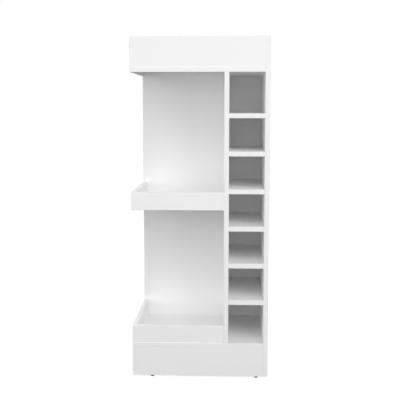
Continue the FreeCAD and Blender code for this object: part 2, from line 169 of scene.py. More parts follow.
class CABINET_PG_boards(bpy.types.PropertyGroup):
    """Finish of the boards."""

    band_radius: length("Band Rounding", "Rounding of the edges that carry edge band", 0.0008)
    band_depth: length("Band Thickness", "Thickness of the edge band", 0.001)
    glue_width: length("Glue Line", "Width of the glue line behind the edge band", 0.00012)
    cut_radius: length("Cut Edge", "Softness of the bare cut edges", 0.00025)
    bore_play: length("Bore Play", "Room round a fastener in its bore", 0.00006)
    bore_lead: length("Bore Lead", "How far a drill starts above the face", 0.001)
    melamine: colour("Melamine", "Colour of the broad faces", (0.9, 0.9, 0.9))
    band: colour("Edge Band", "Colour of the banded edges", (0.905, 0.905, 0.905))
    glue: colour("Glue", "Colour of the glue line", (0.6, 0.585, 0.55))
    chip_pale: colour("Pale Chips", "Light chips on bare particle board", (0.62, 0.47, 0.3))
    chip_dark: colour("Dark Chips", "Dark chips on bare particle board", (0.3, 0.19, 0.1))


class CABINET_PG_fittings(bpy.types.PropertyGroup):
    """Sizes and colours of the fasteners and glides."""

    screw_sunk: length("Screw Sunk", "Depth of a screw's head below the face", 0.0002)
    screw_head: length("Screw Head", "Radius of the countersunk head", 0.005)
    screw_head_depth: length("Head Depth", "Depth of the countersunk head", 0.003)
    screw_core: length("Screw Core", "Radius of a screw's shank inside the thread", 0.0023)
    screw_crest: length("Screw Crest", "Radius of a screw's thread", 0.0032)
    screw_pitch: length("Screw Pitch", "Rise of the screw thread in one turn", 0.003)
    screw_point: length("Screw Point", "Length of a screw's point", 0.005)
    socket: length("Hexagon Socket", "Radius of the hexagon socket to its corners", 0.0023)
    socket_depth: length("Socket Depth", "Depth of the hexagon socket", 0.0022)
    cap_soft: length("Cap Edge", "Rounding of a stick-on cap's rim", 0.00025)
    dowel_flute: length("Dowel Flutes", "Depth of a dowel's flutes", 0.0003)
    dowel_end: length("Dowel Ends", "Chamfer of a dowel's ends", 0.001)
    cam_roof: length("Cam Roof", "Solid top of a cam over its pocket", 0.0032)
    cam_pocket: length("Cam Pocket", "Radius of the pocket that grips the bolt", 0.0046)
    cam_throw: length("Cam Throw", "Offset of the pocket from the disc's middle", 0.0022)
    cam_notch: length("Cam Notch", "Width of the notch where the bolt's head goes in", 0.0074)
    cam_slot: length("Cam Slot", "Width of the slot for the bolt's neck", 0.0044)
    cam_soft: length("Cam Edge", "Rounding of a cam's rims", 0.0002)
    cross_length: length("Cross Length", "Length of the cross recess", 0.008)
    cross_width: length("Cross Width", "Width of the cross recess", 0.0016)
    cross_depth: length("Cross Depth", "Depth of the cross recess", 0.002)
    bolt_neck: length("Bolt Neck", "Radius of a cam bolt's neck", 0.002)
    bolt_neck_length: length("Neck Length", "Length of a cam bolt's neck", 0.00645)
    bolt_head: length("Bolt Head", "Length of a cam bolt's head", 0.004)
    bolt_cone: length("Bolt Cone", "Tapered part of a cam bolt's head", 0.0017)
    bolt_sunk: length("Bolt Thread", "Length of a cam bolt's thread", 0.011)
    bolt_groove: length("Thread Depth", "Depth of a cam bolt's thread", 0.0005)
    bolt_pitch: length("Bolt Pitch", "Rise of a cam bolt's thread in one turn", 0.002)
    bolt_point: length("Bolt Point", "Length of a cam bolt's point", 0.002)
    bolt_room: length("Bolt Room", "Radius of the bore for a cam bolt in the tray shelf", 0.004)
    nail: length("Nail", "Radius of a glide's nail", 0.001)
    nail_point: length("Nail Point", "Length of a nail's point", 0.0028)
    sole_soft: length("Sole Bevel", "Bevel round a glide's sole", 0.001)
    glide_lip: length("Glide Lip", "Bevel and step round a glide's upper rim", 0.0005)
    zinc: colour("Zinc Plate", "Colour of screws, bolts and nails", (0.58, 0.58, 0.57))
    cast: colour("Cast Zinc", "Colour of the cams", (0.56, 0.57, 0.585))
    beech: colour("Beech", "Colour of the dowels", (0.7, 0.51, 0.32))
    cap: colour("Cap", "Colour of the stick-on caps", (0.9, 0.9, 0.9))
    glide: colour("Glide", "Colour of the glides", (0.03, 0.018, 0.021))


class CABINET_PG_stage(bpy.types.PropertyGroup):
    """Floor, lamps and camera."""

    floor_size: length("Floor Size", "Half the width of the floor", 40)
    floor: colour("Floor", "Colour of the floor in the picture", (0.22, 0.22, 0.22))
    floor_bounce: colour("Floor Bounce", "Light that the floor throws back", (0.03, 0.03, 0.03))
    floor_glow: FloatProperty(
        name="Floor White", description="White that the floor adds for the camera", default=0.87, min=0)
    ambient: FloatProperty(
        name="Ambient", description="Strength of the even light from all round", default=0.6, min=0)
    lamp_size: length("Lamp Size", "Width of each lamp, and height of the square ones", 1.6)
    strip_height: length("Strip Height", "Height of the strip lamp on the right", 0.7)
    lamp_aim: place("Lamp Aim", "Point that the lamps look at", (0, 0, 0.6))
    upper_place: place("Upper Lamp", "Place of the lamp above the camera", (0.636, -2.374, 2.321))
    upper_power: power("Upper Power", "Power of the lamp above the camera", 19.4)
    side_place: place("Side Lamp", "Place of the high lamp at the open side", (-1.928, 0, 2.898))
    side_power: power("Side Power", "Power of the high lamp at the open side", 8.3)
    front_place: place("Front Lamp", "Place of the low lamp behind the camera", (0, -2.989, 0.861))
    front_power: power("Front Power", "Power of the low lamp behind the camera", 6.8)
    left_place: place("Left Lamp", "Place of the low lamp on the left", (-1.714, -2.448, 0.861))
    left_power: power("Left Power", "Power of the low lamp on the left", 21.2)
    right_place: place("Right Lamp", "Place of the strip lamp on the right", (1.683, -2.404, 1.224))
    right_power: power("Right Power", "Power of the strip lamp on the right", 19.5)
    rear_place: place("Rear Lamp", "Place of the lamp behind the cabinet", (0, 2.457, 2.321))
    rear_power: power("Rear Power", "Power of the lamp behind the cabinet", 24)
    camera_place: place("Camera", "Place of the camera", (0.1049, -2.5857, 0.8812))
    camera_turn: FloatVectorProperty(
        name="Camera Turn",
        description="Turn of the camera about its three axes",
        default=(math.radians(82.981), 0, math.radians(2.485)),
        subtype="EULER",
    )
    camera_lens: FloatProperty(
        name="Lens", description="Focal length of the camera", default=68.625, min=1, unit="CAMERA")


class Finish:
    """Procedural material that is built up from patterns on Object coordinates."""

    def __init__(self, name):
        self.material = bpy.data.materials.new(name)
        self.material.use_nodes = True
        self.tree = self.material.node_tree
        self.shader = self.tree.nodes["Principled BSDF"]
        self.coordinates = self.tree.nodes.new("ShaderNodeTexCoord").outputs["Object"]
        self.normal = None

    def node(self, kind, **values):
        """New node with values on its own sockets."""
        made = self.tree.nodes.new(kind)
        for socket, value in values.items():
            made.inputs[socket.replace("_", " ")].default_value = value
        return made

    def link(self, output, made, socket):
        """Link into a node's socket."""
        self.tree.links.new(output, made.inputs[socket])

    def noise(self, size, detail=2):
        """Cloudy pattern whose patches have the given size."""
        made = self.node("ShaderNodeTexNoise", Scale=1 / size, Detail=detail)
        self.link(self.coordinates, made, "Vector")
        return made.outputs["Fac"]

    def cells(self, size, stretch):
        """Pattern of separate grains, drawn out along the axes, with one value to each."""
        mapping = self.node("ShaderNodeMapping", Scale=[1 / share for share in stretch])
        self.link(self.coordinates, mapping, "Vector")
        made = self.node("ShaderNodeTexVoronoi", Scale=1 / size)
        self.link(mapping.outputs["Vector"], made, "Vector")
        return made.outputs["Color"]

    def colours(self, pattern, *stops):
        """Base colour that follows a pattern through evenly spaced stops."""
        ramp = self.node("ShaderNodeValToRGB")
        self.link(pattern, ramp, "Fac")
        elements = ramp.color_ramp.elements
        while len(elements) < len(stops):
            elements.new(position=1)
        for number, stop in enumerate(stops):
            elements[number].position = number / (len(stops) - 1)
            elements[number].color = (*stop, 1)
        self.link(ramp.outputs["Color"], self.shader, "Base Color")

    def roughness(self, pattern, low, high):
        """Roughness between two values, following a pattern."""
        spread = self.node("ShaderNodeMapRange", To_Min=low, To_Max=high)
        self.link(pattern, spread, "Value")
        self.link(spread.outputs["Result"], self.shader, "Roughness")

    def relief(self, pattern, depth):
        """Bump of the given depth, on top of those before it."""
        bump = self.node("ShaderNodeBump", Distance=depth)
        self.link(pattern, bump, "Height")
        if self.normal:
            self.link(self.normal, bump, "Normal")
        self.normal = bump.outputs["Normal"]
        self.link(self.normal, self.shader, "Normal")

    def constant(self, **values):
        """Values that are the same all over the surface."""
        for socket, value in values.items():
            self.shader.inputs[socket.replace("_", " ")].default_value = value


def shaded(tone, share):
    """A colour, darker or lighter by a share."""
    return [min(part * share, 1) for part in tone]


def made_once(name, make, settings):
    """Material by its name, made when it is first asked for."""
    return bpy.data.materials.get(name) or make(name, settings).material


def make_melamine(name, settings):
    """White melamine face: a fine pearl texture over very slow waves."""
    finish = Finish(name)
    finish.colours(
        finish.noise(size=0.15, detail=3), shaded(settings.melamine, share=0.985), settings.melamine)
    finish.constant(Specular_IOR_Level=0.2)
    finish.roughness(finish.noise(size=0.012, detail=3), low=0.52, high=0.64)
    finish.relief(finish.noise(size=0.05), depth=0.00012)
    finish.relief(finish.noise(size=0.0012), depth=0.00009)
    return finish


def make_band(name, settings):
    """Edge band: smoother than the faces, with faint waves."""
    finish = Finish(name)
    finish.colours(finish.noise(size=0.08), shaded(settings.band, share=0.985), settings.band)
    finish.constant(Specular_IOR_Level=0.02)
    finish.roughness(finish.noise(size=0.006), low=0.42, high=0.54)
    finish.relief(finish.noise(size=0.016), depth=0.00002)
    return finish


def make_glue(name, settings):
    """Glue line behind the edge band."""
    finish = Finish(name)
    finish.colours(finish.noise(size=0.01), shaded(settings.glue, share=0.85), settings.glue)
    finish.roughness(finish.noise(size=0.004), low=0.5, high=0.65)
    finish.relief(finish.noise(size=0.001), depth=0.00004)
    return finish


def make_chips(name, settings):
    """Bare particle board: pressed chips of several browns."""
    finish = Finish(name)
    middle = [(dark + pale) / 2 for dark, pale in zip(settings.chip_dark, settings.chip_pale)]
    palest = shaded(settings.chip_pale, share=1.15)
    grains = finish.cells(size=0.0022, stretch=(2.2, 2.2, 1))
    finish.colours(grains, settings.chip_dark, middle, settings.chip_pale, palest)
    finish.roughness(finish.noise(size=0.004), low=0.75, high=0.92)
    finish.relief(grains, depth=0.00025)
    return finish


def make_zinc(name, settings):
    """Zinc-plated steel with a faint spangle."""
    finish = Finish(name)
    finish.constant(Metallic=1)
    finish.colours(finish.noise(size=0.0016, detail=3), shaded(settings.zinc, share=0.9), settings.zinc)
    finish.roughness(finish.noise(size=0.0012), low=0.24, high=0.38)
    finish.relief(finish.noise(size=0.0006), depth=0.00001)
    return finish


def make_cast(name, settings):
    """Dull die-cast zinc."""
    finish = Finish(name)
    finish.constant(Metallic=1)
    finish.colours(finish.noise(size=0.002, detail=3), shaded(settings.cast, share=0.82), settings.cast)
    finish.roughness(finish.noise(size=0.001), low=0.42, high=0.6)
    finish.relief(finish.noise(size=0.0005, detail=3), depth=0.00004)
    return finish


def make_beech(name, settings):
    """Raw beech with short dark flecks."""
    finish = Finish(name)
    dark, pale = shaded(settings.beech, share=0.7), shaded(settings.beech, share=1.1)
    finish.colours(finish.noise(size=0.0012, detail=3), dark, settings.beech, pale)
    finish.roughness(finish.noise(size=0.002), low=0.55, high=0.7)
    finish.relief(finish.noise(size=0.0007), depth=0.00004)
    return finish


def make_cap_film(name, settings):
    """White film of the stick-on caps."""
    finish = Finish(name)
    finish.colours(finish.noise(size=0.01), shaded(settings.cap, share=0.98), settings.cap)
    finish.roughness(finish.noise(size=0.003), low=0.4, high=0.5)
    finish.relief(finish.noise(size=0.0008), depth=0.00002)
    return finish


def make_glide_plastic(name, settings):
    """Dark brown moulded plastic."""
    finish = Finish(name)
    finish.colours(finish.noise(size=0.003), shaded(settings.glide, share=0.8), settings.glide)
    finish.constant(Specular_IOR_Level=0.15)
    finish.roughness(finish.noise(size=0.0015), low=0.38, high=0.55)
    finish.relief(finish.noise(size=0.0005), depth=0.00003)
    return finish


def solids_of(node):
    """Corner points of each separate solid in a CAD node."""
    form = bmesh.new()
    form.from_mesh(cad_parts[node].data)
    bmesh.ops.remove_doubles(form, verts=form.verts, dist=MERGE)
    reached = set()
    solids = []
    for first in form.verts:
        if first in reached:
            continue
        reached.add(first)

        # The list grows while the loop runs along it
        solid = [first]
        for corner in solid:
            for edge in corner.link_edges:
                other = edge.other_vert(corner)
                if other not in reached:
                    reached.add(other)
                    solid.append(other)
        solids.append([corner.co.copy() for corner in solid])
    form.free()
    return solids


def box_of(points):
    """Lowest and highest corner of some points."""
    sides = list(zip(*points))
    return Vector([min(side) for side in sides]), Vector([max(side) for side in sides])


def long_place(points):
    """Head, direction and length of a long fastener, whose head is its wider end."""
    low, high = box_of(points)
    span = high - low
    axis = max(AXES, key=lambda number: span[number])
    middle = (low + high) / 2
    ends = []
    for limit in (low[axis], high[axis]):
        end = middle.copy()
        end[axis] = limit
        width = max((point - end).length for point in points if abs(point[axis] - limit) < MERGE)
        ends.append((width, end))
    head, tip = (end for width, end in sorted(ends, key=lambda pair: pair[0], reverse=True))
    return head, (tip - head).normalized(), (tip - head).length


def long_places(node):
    """Places of the long fasteners in a CAD node."""
    return [long_place(points) for points in solids_of(node)]


def end_radii(node):
    """Radius of a CAD node's long fasteners at the head and at the tip."""
    points = solids_of(node)[0]
    head, direction, reach = long_place(points)
    radii = []
    for end in (head, head + direction * reach):
        flat = [point for point in points if abs((point - end).dot(direction)) < MERGE]
        radii.append(max((point - end).length for point in flat))
    return radii


def upright_places(node):
    """Middle of the underside, and span, of each solid in a CAD node."""
    places = []
    for points in solids_of(node):
        low, high = box_of(points)
        foot = Vector(((low.x + high.x) / 2, (low.y + high.y) / 2, low.z))
        places.append((foot, high - low))
    return places


def pointed(spot, direction):
    """Matrix that stands a shape's own Z along a direction."""
    return Matrix.Translation(spot) @ direction.to_track_quat("Z", "Y").to_matrix().to_4x4()


def pointed_all(places):
    """Matrix for each of the places of long fasteners."""
    return [pointed(head, direction) for head, direction, _ in places]


def lathe(section, steps=ROUND_STEPS):
    """Round shape from its half section of radii and heights."""
    form = bmesh.new()
    corners = [form.verts.new((radius, 0, height)) for radius, height in section]
    edges = [form.edges.new(pair) for pair in zip(corners, corners[1:])]
    bmesh.ops.spin(
        form, geom=corners + edges, cent=(0, 0, 0), axis=(0, 0, 1), angle=FULL_TURN, steps=steps,
        use_merge=True)
    bmesh.ops.remove_doubles(form, verts=form.verts, dist=MERGE)
    bmesh.ops.recalc_face_normals(form, faces=form.faces)
    return form


def block(low, high):
    """Plain block between two corners."""
    low, high = Vector(low), Vector(high)
    form = bmesh.new()
    bmesh.ops.create_cube(form, size=1)
    bmesh.ops.scale(form, vec=high - low, verts=form.verts)
    bmesh.ops.translate(form, vec=(low + high) / 2, verts=form.verts)
    form.normal_update()
    return form


def round_over(form, edges, radius, steps):
    """Round some edges, or chamfer them if it is done in one step."""
    bmesh.ops.bevel(
        form, geom=edges, offset=radius, offset_type="OFFSET", segments=steps, profile=0.5, affect="EDGES",
        clamp_overlap=True, material=-1)


def turned_edges(form, angle):
    """Edges at which the surface turns by more than an angle."""
    return [edge for edge in form.edges if edge.is_manifold and edge.calc_face_angle() > angle]


def as_mesh(form, name):
    """Mesh of a finished shape, which is used up."""
    mesh = bpy.data.meshes.new(name)
    form.to_mesh(mesh)
    form.free()
    return mesh


def round_mesh(form, name):
    """Mesh of a round shape, smooth apart from its sharp edges."""
    mesh = as_mesh(form, name)
    mesh.shade_smooth()
    mesh.set_sharp_from_angle(angle=SHARP_ANGLE)
    return mesh


def dressed(mesh, *materials):
    """Mesh with its materials in order."""
    for material in materials:
        mesh.materials.append(material)
    return mesh


def cut(mesh, cutters):
    """Mesh with other shapes taken out of it, one after the other. All of them are used up."""
    blank = bpy.data.objects.new("blank", mesh)
    bpy.context.scene.collection.objects.link(blank)
    tools = []
    for cutter in cutters:
        tool = bpy.data.objects.new("tool", cutter)
        bpy.context.scene.collection.objects.link(tool)
        taken = blank.modifiers.new("taken", "BOOLEAN")
        taken.operation = "DIFFERENCE"
        taken.solver = "EXACT"
        taken.object = tool
        tools.append(tool)
    depsgraph = bpy.context.evaluated_depsgraph_get()
    result = bpy.data.meshes.new_from_object(blank.evaluated_get(depsgraph))
    result.name = mesh.name
    for spent in (blank, *tools):
        used = spent.data
        bpy.data.objects.remove(spent)
        bpy.data.meshes.remove(used)
    return result


def add_piece(mesh, node):
    """Finished piece that stands for a CAD node."""
    piece = bpy.data.objects.new("finished_" + node, mesh)
    bpy.context.scene.collection.objects.link(piece)
    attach(piece, BODY)
    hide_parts(node)


def add_copies(mesh, matrices, node, material):
    """Finished piece with a copy of a shape at each place. The shape itself is used up."""
    form = bmesh.new()
    for matrix in matrices:
        copy = mesh.copy()
        copy.transform(matrix)
        form.from_mesh(copy)
        bpy.data.meshes.remove(copy)
    bpy.data.meshes.remove(mesh)
    add_piece(dressed(as_mesh(form, "finished_" + node), material), node)


def side_of(face):
    """Side of a board that a face looks to."""
    return max(SIDES, key=lambda side: SIDES[side].dot(face.normal))


def depth_from(side, low, high, point):
    """Distance of a point in from one side of a board."""
    outward = SIDES[side]
    return max(outward.dot(low), outward.dot(high)) - outward.dot(point)


def shaped_board(node, banded, settings):
    """Board with rounded banded edges, glue lines and crisp cut edges, not yet drilled."""
    low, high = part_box(node)
    span = high - low
    thin = min(AXES, key=lambda axis: span[axis])
    broad = {side for side, outward in SIDES.items() if outward[thin]}
    form = block(low, high)
    rounded = []
    for edge in form.edges:
        sides = {side_of(face) for face in edge.link_faces}
        if sides & banded and sides <= banded | broad:
            rounded.append(edge)
    if rounded:
        round_over(form, rounded, settings.band_radius, ROUND_OVER_STEPS)
    round_over(form, turned_edges(form, CRISP_ANGLE), settings.cut_radius, SOFT_STEPS)

    # Seams of the edge band
    for side in sorted(banded):
        outward = SIDES[side]
        for depth in (settings.band_depth, settings.band_depth + settings.glue_width):
            seam = outward * (max(outward.dot(low), outward.dot(high)) - depth)
            everything = form.verts[:] + form.edges[:] + form.faces[:]
            bmesh.ops.bisect_plane(form, geom=everything, dist=MERGE, plane_co=seam, plane_no=outward)

    form.normal_update()
    for face in form.faces:
        flat = max(abs(part) for part in face.normal) > FLAT_NORMAL
        middle = face.calc_center_median()
        depth = min((depth_from(side, low, high, middle) for side in banded), default=math.inf)
        if depth < settings.band_depth:
            face.material_index = BAND
        elif depth < settings.band_depth + settings.glue_width:
            face.material_index = GLUE
        elif flat and side_of(face) not in broad:
            face.material_index = CHIPS
        else:
            face.material_index = MELAMINE
        face.smooth = not flat
    return as_mesh(form, "finished_" + node)


def screw_section(fittings, boards, screw_length):
    """Half section of an assembly screw's bore."""
    play = boards.bore_play
    return [
        (0, -boards.bore_lead),
        (fittings.screw_head + play, -boards.bore_lead),
        (fittings.screw_head + play, fittings.screw_sunk),
        (fittings.screw_crest + play, fittings.screw_sunk + fittings.screw_head_depth),
        (fittings.screw_crest + play, screw_length + play),
        (0, screw_length + play),
    ]


def straight_section(radius, start, end):
    """Half section of a straight bore or a disc."""
    return [(0, start), (radius, start), (radius, end), (0, end)]


def bolt_section(fittings, boards, bolt_length, bolt_radius):
    """Half section of a cam bolt's bore: wide in the tray shelf, close in the rail or divider."""
    play = boards.bore_play
    face = bolt_length - fittings.bolt_sunk

    # The bore starts half way along the bolt's head, inside the cam's seat
    start = fittings.bolt_head / 2
    return [
        (0, start),
        (fittings.bolt_room, start),
        (fittings.bolt_room, face + play),
        (bolt_radius + play, face + play),
        (bolt_radius + play, bolt_length + play),
        (0, bolt_length + play),
    ]


def bores(fittings, boards):
    """Half section and place of every bore, one list to each kind of fastener."""
    play = boards.bore_play
    screws = [
        (screw_section(fittings, boards, reach), pointed(head, direction))
        for node in SCREW_GROUPS
        for head, direction, reach in long_places(node)
    ]
    _, dowel_radius = end_radii(DOWEL_GROUPS[0])
    dowels = [
        (straight_section(dowel_radius + play, -play, reach + play), pointed(head, direction))
        for node in DOWEL_GROUPS
        for head, direction, reach in long_places(node)
    ]
    _, bolt_radius = end_radii("mid_tray_cam_bolts")
    bolts = [
        (bolt_section(fittings, boards, reach, bolt_radius), pointed(head, direction))
        for head, direction, reach in long_places("mid_tray_cam_bolts")
    ]
    nails = [
        (straight_section(fittings.nail + play, 0, span.z + play), pointed(foot, SIDES["top"]))
        for foot, span in upright_places("glide_nails")
    ]
    seats = [
        (straight_section(span.x / 2 + play, -boards.bore_lead, span.z + play), Matrix.Translation(foot))
        for foot, span in upright_places("mid_tray_cams")
    ]
    return screws, dowels, bolts, nails, seats


def reaches(section, matrix, low, high):
    """True if a bore runs into the box of a board."""
    radius = max(width for width, height in section)
    heights = [height for width, height in section]
    ends = [matrix @ Vector((0, 0, height)) for height in (min(heights), max(heights))]
    near, far = box_of(ends)
    return all(near[axis] - radius < high[axis] and far[axis] + radius > low[axis] for axis in AXES)


def drilled_board(node, banded, settings, kinds, materials):
    """Board with the bores of all its fasteners."""
    low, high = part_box(node)
    cutters = []
    for kind in kinds:
        drills = bmesh.new()
        for section, matrix in kind:
            if reaches(section, matrix, low, high):
                drill = as_mesh(lathe(section, BORE_STEPS), "drill")
                drill.transform(matrix)
                drills.from_mesh(drill)
                bpy.data.meshes.remove(drill)
        for face in drills.faces:
            face.material_index = CHIPS

            # The round walls are smooth, and the flat ends, made of triangles, are not
            face.smooth = len(face.verts) > TRIANGLE_CORNERS
        if drills.faces:
            cutters.append(dressed(as_mesh(drills, "drills"), *materials))
        else:
            drills.free()
    return cut(dressed(shaped_board(node, banded, settings), *materials), cutters)


def add_boards(context, boards):
    """Finish a group of boards."""
    settings = context.scene.cabinet_boards
    kinds = bores(context.scene.cabinet_fittings, settings)
    materials = (
        made_once("melamine_face", make_melamine, settings),
        made_once("edge_band", make_band, settings),
        made_once("glue_line", make_glue, settings),
        made_once("bare_chips", make_chips, settings),
    )
    for node, banded in boards.items():
        add_piece(drilled_board(node, banded, settings, kinds, materials), node)


def add_thread(form, core, crest, pitch, start, end):
    """Raised thread along Z, with its foot sunk into a round shank."""
    foot = pitch * THREAD_FOOT
    land = foot * THREAD_CREST
    root = core - foot
    section = [(root, -foot), (crest, -land), (crest, land), (root, foot)]
    corners = [form.verts.new((radius, 0, start + height)) for radius, height in section]
    face = form.faces.new(corners)
    turns = (end - start) / pitch
    total = max(round(turns * THREAD_STEPS), 1)
    bmesh.ops.spin(
        form, geom=[face, *face.edges, *corners], cent=(0, 0, 0), axis=(0, 0, 1),
        dvec=(0, 0, (end - start) / total), angle=FULL_TURN * turns, steps=total)
    bmesh.ops.recalc_face_normals(form, faces=form.faces)


def screw_mesh(fittings, screw_length):
    """Assembly screw with a countersunk head, a hexagon socket and a coarse thread."""
    core, crest = fittings.screw_core, fittings.screw_crest
    sunk = fittings.screw_sunk
    neck = sunk + fittings.screw_head_depth
    plain_end = 2 * neck
    tip = screw_length - fittings.screw_point
    form = lathe([
        (0, sunk),
        (fittings.screw_head, sunk),
        (crest, neck),
        (crest, plain_end),
        (core, plain_end + crest - core),
        (core, tip),
        (0, screw_length),
    ])
    socket = bmesh.new()
    bmesh.ops.create_cone(
        socket, cap_ends=True, segments=HEXAGON_SIDES, radius1=fittings.socket, radius2=fittings.socket,
        depth=2 * fittings.socket_depth)
    body = cut(as_mesh(form, "screw"), [as_mesh(socket, "socket")])
    form = bmesh.new()
    form.from_mesh(body)
    bpy.data.meshes.remove(body)
    add_thread(form, core, crest, fittings.screw_pitch, plain_end + fittings.screw_pitch, tip)
    return round_mesh(form, "screw")


def bolt_mesh(fittings, bolt_length, head_radius, radius):
    """Cam bolt: head, neck, shank and thread."""
    neck_end = fittings.bolt_head + fittings.bolt_neck_length
    face = bolt_length - fittings.bolt_sunk
    core = radius - fittings.bolt_groove
    tip = bolt_length - fittings.bolt_point
    form = lathe([
        (0, 0),
        (head_radius, 0),
        (head_radius, fittings.bolt_head - fittings.bolt_cone),
        (fittings.bolt_neck, fittings.bolt_head),
        (fittings.bolt_neck, neck_end),
        (radius, neck_end),
        (radius, face),
        (core, face + radius - core),
        (core, tip),
        (0, bolt_length),
    ])
    add_thread(form, core, radius, fittings.bolt_pitch, face + fittings.bolt_pitch, tip)
    return round_mesh(form, "cam_bolt")


def dowel_mesh(fittings, dowel_length, radius):
    """Fluted dowel with chamfered ends."""
    form = bmesh.new()
    made = bmesh.ops.create_circle(form, cap_ends=True, radius=radius, segments=FLUTES * FLUTE_CORNERS)
    share = 1 - fittings.dowel_flute / radius
    hollows = made["verts"][::FLUTE_CORNERS]
    bmesh.ops.scale(form, vec=(share, share, 1), verts=hollows)
    grown = bmesh.ops.extrude_face_region(form, geom=form.faces[:], use_keep_orig=True)
    risen = [item for item in grown["geom"] if isinstance(item, bmesh.types.BMVert)]
    bmesh.ops.translate(form, vec=(0, 0, dowel_length), verts=risen)
    bmesh.ops.recalc_face_normals(form, faces=form.faces)
    round_over(form, turned_edges(form, CRISP_ANGLE), fittings.dowel_end, CHAMFER_STEPS)
    return as_mesh(form, "dowel")


def cam_mesh(fittings, radius, height, bolt_level):
    """Cam with its off-centre pocket, notch, slot and cross recess.

    The face with the cross lies at Z = 0, the pocket opens away from it, and the bolt comes from negative X.
    """
    form = lathe(straight_section(radius, 0, height))
    round_over(form, turned_edges(form, CRISP_ANGLE), fittings.cam_soft, SOFT_STEPS)
    roof = fittings.cam_roof

    # The cutters reach well past the disc
    beyond = 2 * height
    outside = -2 * radius
    pocket = lathe(straight_section(fittings.cam_pocket, roof, beyond))
    bmesh.ops.translate(pocket, vec=(fittings.cam_throw, 0, 0), verts=pocket.verts)
    half_notch = fittings.cam_notch / 2
    notch = block((-half_notch, outside, roof), (half_notch, 0, beyond))

    # Slot that the bolt's neck follows through a quarter turn
    half_slot = fittings.cam_slot / 2
    slot = bmesh.new()
    section = ((0, -half_slot), (outside, -half_slot), (outside, half_slot), (0, half_slot))
    corners = [slot.verts.new((across, 0, bolt_level + up)) for across, up in section]
    face = slot.faces.new(corners)
    bmesh.ops.spin(
        slot, geom=[face, *face.edges, *corners], cent=(0, 0, 0), axis=(0, 0, 1),
        angle=FULL_TURN / QUARTERS, steps=ROUND_STEPS // QUARTERS)
    bmesh.ops.remove_doubles(slot, verts=slot.verts, dist=MERGE)
    bmesh.ops.recalc_face_normals(slot, faces=slot.faces)
    mouth = block((outside, -half_slot, bolt_level - half_slot), (0, half_slot, bolt_level + half_slot))

    # Cross recess for the screwdriver
    long_half, wide_half, deep = fittings.cross_length / 2, fittings.cross_width / 2, fittings.cross_depth
    first_arm = block((-long_half, -wide_half, -deep), (long_half, wide_half, deep))
    second_arm = block((-wide_half, -long_half, -deep), (wide_half, long_half, deep))
    cutters = (pocket, notch, slot, mouth, first_arm, second_arm)
    cam = cut(as_mesh(form, "cam"), [as_mesh(cutter, "cam_cutter") for cutter in cutters])

    # Where two cutters share a plane, faces without area are taken out
    form = bmesh.new()
    form.from_mesh(cam)
    bpy.data.meshes.remove(cam)
    bmesh.ops.dissolve_degenerate(form, dist=MERGE, edges=form.edges)
    return round_mesh(form, "cam")


class CABINET_OT_upright_panels(bpy.types.Operator):
    """Side panel, back panel and divider"""

    bl_idname = "cabinet.upright_panels"
    bl_label = "Upright Panels"

    def execute(self, context):
        add_boards(context, UPRIGHT_PANELS)
        return {"FINISHED"}


class CABINET_OT_level_panels(bpy.types.Operator):
    """Top panel and bottom panel"""

    bl_idname = "cabinet.level_panels"
    bl_label = "Level Panels"

    def execute(self, context):
        add_boards(context, LEVEL_PANELS)
        return {"FINISHED"}


class CABINET_OT_niche_shelves(bpy.types.Operator):
    """Shelves between the bottle niches"""

    bl_idname = "cabinet.niche_shelves"
    bl_label = "Niche Shelves"

    def execute(self, context):
        add_boards(context, NICHE_SHELVES)
        return {"FINISHED"}


class CABINET_OT_trays(bpy.types.Operator):
    """Shelf and rails of the middle tray, and rails of the lower one"""

    bl_idname = "cabinet.trays"
    bl_label = "Trays"

    def execute(self, context):
        add_boards(context, MIDDLE_TRAY)
        add_boards(context, LOWER_TRAY)
        return {"FINISHED"}


class CABINET_OT_plinth_and_fascia(bpy.types.Operator):
    """Boards under the bottom panel and on the top panel"""

    bl_idname = "cabinet.plinth_and_fascia"
    bl_label = "Plinth and Fascia"

    def execute(self, context):
        add_boards(context, PLINTH)
        add_boards(context, FASCIA)
        return {"FINISHED"}


class CABINET_OT_screws(bpy.types.Operator):
    """Countersunk assembly screws"""

    bl_idname = "cabinet.screws"
    bl_label = "Assembly Screws"

    def execute(self, context):
        fittings = context.scene.cabinet_fittings
        zinc = made_once("zinc_plate", make_zinc, fittings)
        for node in SCREW_GROUPS:
            places = long_places(node)
            _, _, reach = places[0]
            add_copies(screw_mesh(fittings, reach), pointed_all(places), node, zinc)
        return {"FINISHED"}


class CABINET_OT_screw_caps(bpy.types.Operator):
    """Stick-on caps over the screws in the side panel"""

    bl_idname = "cabinet.screw_caps"
    bl_label = "Screw Caps"

    def execute(self, context):
        fittings = context.scene.cabinet_fittings
        film = made_once("cap_film", make_cap_film, fittings)
        node = "side_panel_screw_caps"
        boxes = [box_of(points) for points in solids_of(node)]
        middles = [(low.x, (low.y + high.y) / 2, (low.z + high.z) / 2) for low, high in boxes]
        matrices = [pointed(Vector(middle), SIDES["right"]) for middle in middles]
        low, high = boxes[-1]
        span = high - low
        form = lathe(straight_section(span.y / 2, 0, span.x))
        rim = [
            edge for edge in turned_edges(form, CRISP_ANGLE)
            if all(corner.co.z > span.x / 2 for corner in edge.verts)
        ]
        round_over(form, rim, fittings.cap_soft, SOFT_STEPS)
        add_copies(round_mesh(form, "cap"), matrices, node, film)
        return {"FINISHED"}


class CABINET_OT_dowels(bpy.types.Operator):
    """Fluted beech dowels"""

    bl_idname = "cabinet.dowels"
    bl_label = "Dowels"

    def execute(self, context):
        fittings = context.scene.cabinet_fittings
        beech = made_once("raw_beech", make_beech, fittings)
        for node in DOWEL_GROUPS:
            places = long_places(node)
            _, _, reach = places[0]
            _, radius = end_radii(node)
            add_copies(dowel_mesh(fittings, reach, radius), pointed_all(places), node, beech)
        return {"FINISHED"}


